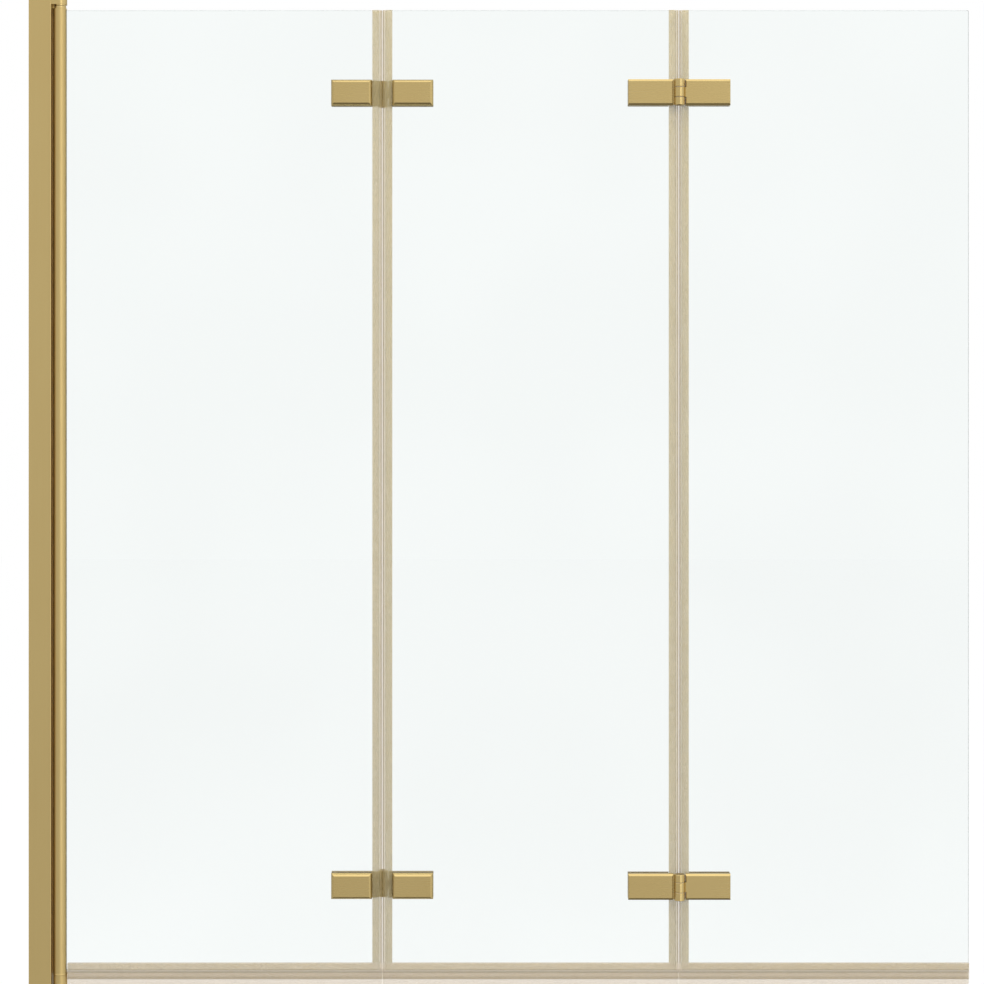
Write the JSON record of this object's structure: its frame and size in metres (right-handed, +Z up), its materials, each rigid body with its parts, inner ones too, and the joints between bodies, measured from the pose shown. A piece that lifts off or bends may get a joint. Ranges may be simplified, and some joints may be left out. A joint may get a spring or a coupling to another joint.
{
  "type": "folding bath screen",
  "caption": "Folding glass bath screen: wall profile with a round pivot tube, clear panels joined by metal clamp hinges, translucent seam and bottom seals.",
  "frame": {"origin": "on the wall plane, in the middle plane of the glass, at the height of the rim that the screen stands over", "axes": "+X along the screen away from the wall, +Y away from the viewer of the picture, +Z up"},
  "size_m": [1.3, 0.0386, 1.4],
  "materials": {
    "profile_metal": "satin gold anodised extrusion",
    "hinge_metal": "satin brushed gold",
    "clear_glass": "clear toughened glass, polished edges",
    "soft_seal": "translucent soft PVC",
    "steel": "stainless steel",
    "nylon": "natural nylon",
    "gasket": "matt soft rubber"
  },
  "bodies": {
    "root": {"wall_channel": "profile_metal", "carrier_profile": "profile_metal", "side_screws": "steel", "side_screw_caps": "profile_metal", "pivot_wiper": "gasket", "top_bracket": "hinge_metal", "bottom_bracket": "hinge_metal", "top_bush": "hinge_metal", "bottom_bush": "hinge_metal", "bracket_screws": "steel"},
    "panel_1": {"pivot_tube": "profile_metal", "tube_top_cap": "hinge_metal", "tube_bottom_cap": "hinge_metal", "top_pivot_pin": "steel", "bottom_pivot_pin": "steel", "tube_gasket": "soft_seal", "glass_1": "clear_glass", "seam_1_left_seal": "soft_seal", "bottom_seal_1": "soft_seal", "seam_1_top_left_leaf": "hinge_metal", "seam_1_top_left_cover": "hinge_metal", "seam_1_bottom_left_leaf": "hinge_metal", "seam_1_bottom_left_cover": "hinge_metal", "seam_1_top_pin": "steel", "seam_1_bottom_pin": "steel", "seam_1_washers": "nylon", "panel_1_clamp_plates": "steel", "panel_1_clamp_screws": "steel", "panel_1_hinge_gaskets": "gasket"},
    "panel_2": {"glass_2": "clear_glass", "seam_1_right_seal": "soft_seal", "seam_2_left_seal": "soft_seal", "bottom_seal_2": "soft_seal", "seam_1_top_right_leaf": "hinge_metal", "seam_1_top_right_cover": "hinge_metal", "seam_1_bottom_right_leaf": "hinge_metal", "seam_1_bottom_right_cover": "hinge_metal", "seam_2_top_left_leaf": "hinge_metal", "seam_2_top_left_cover": "hinge_metal", "seam_2_bottom_left_leaf": "hinge_metal", "seam_2_bottom_left_cover": "hinge_metal", "seam_2_top_pin": "steel", "seam_2_bottom_pin": "steel", "seam_2_washers": "nylon", "panel_2_clamp_plates": "steel", "panel_2_clamp_screws": "steel", "panel_2_hinge_gaskets": "gasket"},
    "panel_3": {"glass_3": "clear_glass", "seam_2_right_seal": "soft_seal", "bottom_seal_3": "soft_seal", "seam_2_top_right_leaf": "hinge_metal", "seam_2_top_right_cover": "hinge_metal", "seam_2_bottom_right_leaf": "hinge_metal", "seam_2_bottom_right_cover": "hinge_metal", "panel_3_clamp_plates": "steel", "panel_3_clamp_screws": "steel", "panel_3_hinge_gaskets": "gasket"}
  },
  "joints": [
    {"name": "wall_pivot", "type": "hinge", "parent": "root", "child": "panel_1", "pos_m": [0.0418, 0, 0.7], "axis": [0, 0, 1], "range_deg": [-90, 90]},
    {"name": "fold_1", "type": "hinge", "parent": "panel_1", "child": "panel_2", "pos_m": [0.4879, 0.012, 0.7], "axis": [0, 0, 1], "range_deg": [0, 175]},
    {"name": "fold_2", "type": "hinge", "parent": "panel_2", "child": "panel_3", "pos_m": [0.8985, -0.012, 0.7], "axis": [0, 0, -1], "range_deg": [0, 175]}
  ]
}
